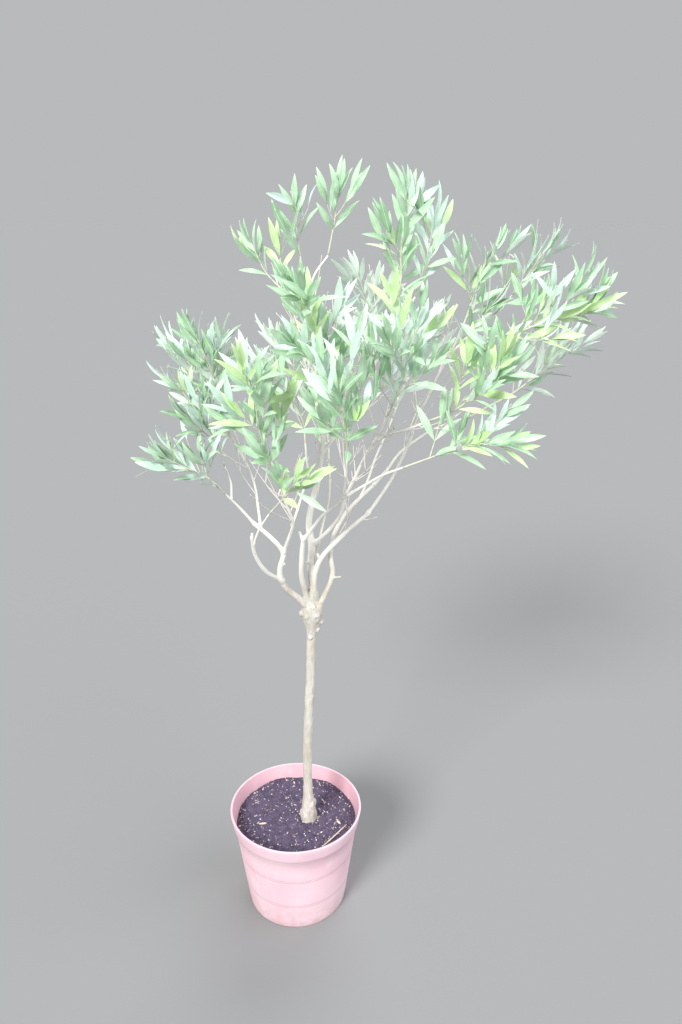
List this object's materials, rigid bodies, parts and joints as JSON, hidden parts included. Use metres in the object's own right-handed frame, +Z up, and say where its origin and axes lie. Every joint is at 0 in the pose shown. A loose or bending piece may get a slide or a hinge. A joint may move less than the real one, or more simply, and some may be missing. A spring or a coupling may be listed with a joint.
{
  "type": "potted olive tree",
  "caption": "Young olive tree grown as a bare-stemmed standard with an open round crown, standing in a round tapered plastic flower pot filled with compost.",
  "frame": {"origin": "centre of the pot's flat underside, on the ground", "axes": "+Z up; -Y is the side the picture shows; +X to the right there, the side the crown spreads to"},
  "size_m": [0.9345, 0.6336, 1.6254],
  "materials": {
    "pot_plastic": "pale pink plastic, satin",
    "compost": "dark crumbly compost",
    "bark": "smooth pale grey-brown bark",
    "foliage": "narrow grey-green leaves, silvery underneath"
  },
  "bodies": {
    "root": {"pot": "pot_plastic", "soil": "compost", "trunk": "bark", "bough_left_low": "bark", "bough_left_outer": "bark", "bough_front_low": "bark", "bough_left_spread": "bark", "bough_left_mid": "bark", "bough_left_back": "bark", "bough_left_high": "bark", "bough_left_inner": "bark", "bough_mid_back": "bark", "bough_front": "bark", "bough_front_cross": "bark", "bough_right_low": "bark", "bough_front_centre": "bark", "bough_leader": "bark", "bough_leader_top": "bark", "bough_top_left": "bark", "bough_top": "bark", "bough_top_mid": "bark", "bough_twin_up": "bark", "bough_crest": "bark", "bough_crown_front": "bark", "bough_back": "bark", "bough_back_high": "bark", "bough_cross": "bark", "bough_cross_right": "bark", "bough_cross_up": "bark", "bough_right": "bark", "bough_right_up": "bark", "bough_right_crest": "bark", "bough_right_back": "bark", "bough_right_long": "bark", "bough_right_rear": "bark", "bough_right_thin": "bark", "foliage_front_low": "foliage", "foliage_left_low": "foliage", "foliage_left_mid": "foliage", "foliage_left": "foliage", "foliage_left_high": "foliage", "foliage_front_left": "foliage", "foliage_mid_back": "foliage", "foliage_front_right": "foliage", "foliage_right_low": "foliage", "foliage_front": "foliage", "foliage_top_left": "foliage", "foliage_top": "foliage", "foliage_top_mid": "foliage", "foliage_crown_front": "foliage", "foliage_back": "foliage", "foliage_back_high": "foliage", "foliage_top_right": "foliage", "foliage_crest": "foliage", "foliage_middle": "foliage", "foliage_right_inner": "foliage", "foliage_right_crest": "foliage", "foliage_right": "foliage", "foliage_right_rear": "foliage", "foliage_right_far": "foliage"}
  },
  "joints": []
}
